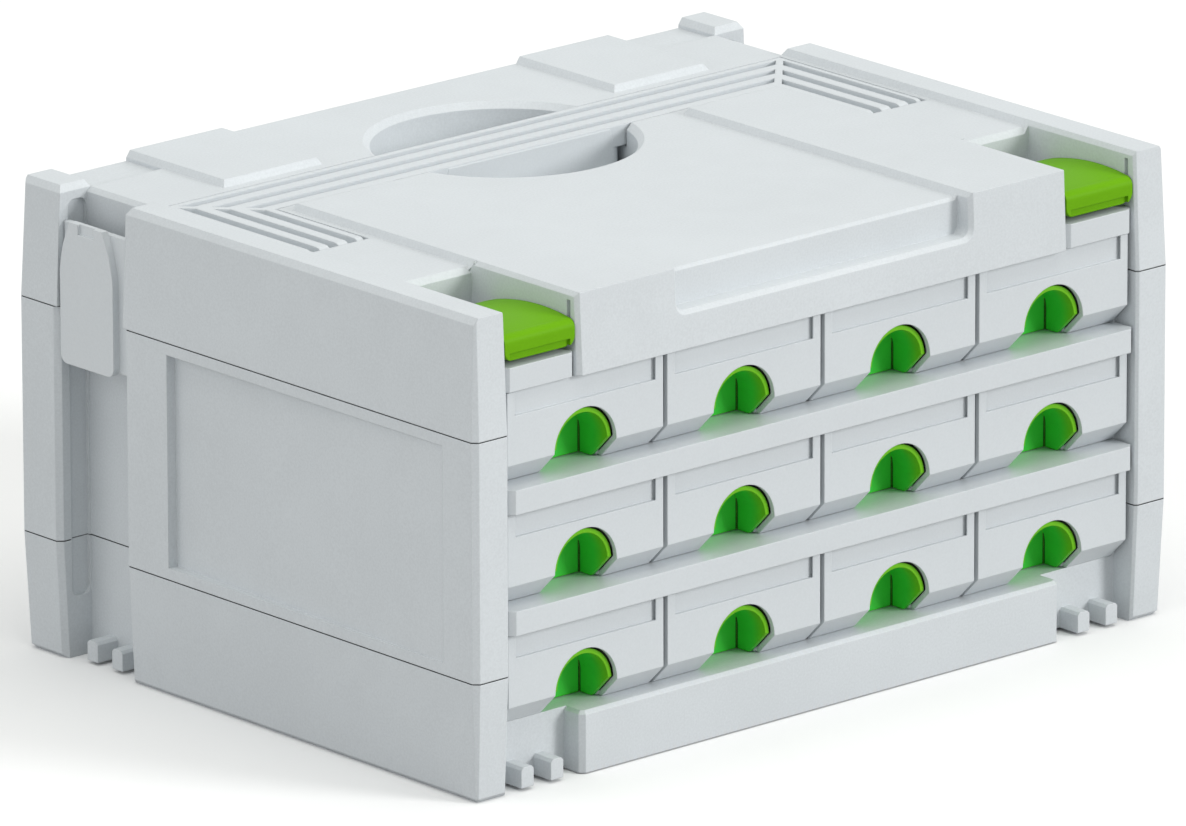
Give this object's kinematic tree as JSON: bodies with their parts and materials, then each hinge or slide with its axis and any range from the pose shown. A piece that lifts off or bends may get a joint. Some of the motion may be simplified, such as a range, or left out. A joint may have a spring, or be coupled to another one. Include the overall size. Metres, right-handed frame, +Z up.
{
  "type": "drawer organizer case",
  "caption": "Stackable box-shaped carrying case with rows of sliding drawers, finger-cup pulls, a fold-flat handle and coupling latches.",
  "frame": {"origin": "centre of the footprint on the face that the case stands on", "axes": "+X to the right seen from the front, -Y towards the drawer fronts, +Z up"},
  "size_m": [0.395, 0.295, 0.21],
  "materials": {
    "shell": "fine moulded texture",
    "shelf": "fine moulded texture",
    "drawer": "smooth moulded",
    "handle": "smooth moulded",
    "side_latch": "smooth moulded",
    "green": "satin moulded"
  },
  "bodies": {
    "case": {"base_tray": "shell", "middle_frame": "shell", "top_cover": "shell", "lower_shelf": "shelf", "upper_shelf": "shelf", "ceiling_shelf": "shelf"},
    "handle": {"carry_handle": "handle"},
    "front_latch_left": {"front_latch_left": "green"},
    "front_latch_right": {"front_latch_right": "green"},
    "side_latch_left": {"side_latch_left": "side_latch"},
    "side_latch_right": {"side_latch_right": "side_latch"},
    "drawer_row1_1": {"drawer_row1_1": "drawer", "pull_row1_1": "green"},
    "drawer_row1_2": {"drawer_row1_2": "drawer", "pull_row1_2": "green"},
    "drawer_row1_3": {"drawer_row1_3": "drawer", "pull_row1_3": "green"},
    "drawer_row1_4": {"drawer_row1_4": "drawer", "pull_row1_4": "green"},
    "drawer_row2_1": {"drawer_row2_1": "drawer", "pull_row2_1": "green"},
    "drawer_row2_2": {"drawer_row2_2": "drawer", "pull_row2_2": "green"},
    "drawer_row2_3": {"drawer_row2_3": "drawer", "pull_row2_3": "green"},
    "drawer_row2_4": {"drawer_row2_4": "drawer", "pull_row2_4": "green"},
    "drawer_row3_1": {"drawer_row3_1": "drawer", "pull_row3_1": "green"},
    "drawer_row3_2": {"drawer_row3_2": "drawer", "pull_row3_2": "green"},
    "drawer_row3_3": {"drawer_row3_3": "drawer", "pull_row3_3": "green"},
    "drawer_row3_4": {"drawer_row3_4": "drawer", "pull_row3_4": "green"}
  },
  "joints": [
    {"name": "handle_fold", "type": "hinge", "parent": "case", "child": "handle", "pos_m": [0, -0.012, 0.20225], "axis": [1, 0, 0], "range_deg": [0, 90]},
    {"name": "front_latch_left_flip", "type": "hinge", "parent": "case", "child": "front_latch_left", "pos_m": [-0.15885, -0.1401, 0.1925], "axis": [1, 0, 0], "range_deg": [0, 90]},
    {"name": "side_latch_left_lift", "type": "slide", "parent": "case", "child": "side_latch_left", "axis": [0, 0, 1], "range_m": [0, 0.0345]},
    {"name": "front_latch_right_flip", "type": "hinge", "parent": "case", "child": "front_latch_right", "pos_m": [0.15885, -0.1401, 0.1925], "axis": [1, 0, 0], "range_deg": [0, 90]},
    {"name": "side_latch_right_lift", "type": "slide", "parent": "case", "child": "side_latch_right", "axis": [0, 0, 1], "range_m": [0, 0.0345]},
    {"name": "drawer_row1_1_slide", "type": "slide", "parent": "case", "child": "drawer_row1_1", "axis": [0, -1, 0], "range_m": [0, 0.22]},
    {"name": "drawer_row1_2_slide", "type": "slide", "parent": "case", "child": "drawer_row1_2", "axis": [0, -1, 0], "range_m": [0, 0.22]},
    {"name": "drawer_row1_3_slide", "type": "slide", "parent": "case", "child": "drawer_row1_3", "axis": [0, -1, 0], "range_m": [0, 0.22]},
    {"name": "drawer_row1_4_slide", "type": "slide", "parent": "case", "child": "drawer_row1_4", "axis": [0, -1, 0], "range_m": [0, 0.22]},
    {"name": "drawer_row2_1_slide", "type": "slide", "parent": "case", "child": "drawer_row2_1", "axis": [0, -1, 0], "range_m": [0, 0.22]},
    {"name": "drawer_row2_2_slide", "type": "slide", "parent": "case", "child": "drawer_row2_2", "axis": [0, -1, 0], "range_m": [0, 0.22]},
    {"name": "drawer_row2_3_slide", "type": "slide", "parent": "case", "child": "drawer_row2_3", "axis": [0, -1, 0], "range_m": [0, 0.22]},
    {"name": "drawer_row2_4_slide", "type": "slide", "parent": "case", "child": "drawer_row2_4", "axis": [0, -1, 0], "range_m": [0, 0.22]},
    {"name": "drawer_row3_1_slide", "type": "slide", "parent": "case", "child": "drawer_row3_1", "axis": [0, -1, 0], "range_m": [0, 0.22]},
    {"name": "drawer_row3_2_slide", "type": "slide", "parent": "case", "child": "drawer_row3_2", "axis": [0, -1, 0], "range_m": [0, 0.22]},
    {"name": "drawer_row3_3_slide", "type": "slide", "parent": "case", "child": "drawer_row3_3", "axis": [0, -1, 0], "range_m": [0, 0.22]},
    {"name": "drawer_row3_4_slide", "type": "slide", "parent": "case", "child": "drawer_row3_4", "axis": [0, -1, 0], "range_m": [0, 0.22]}
  ]
}
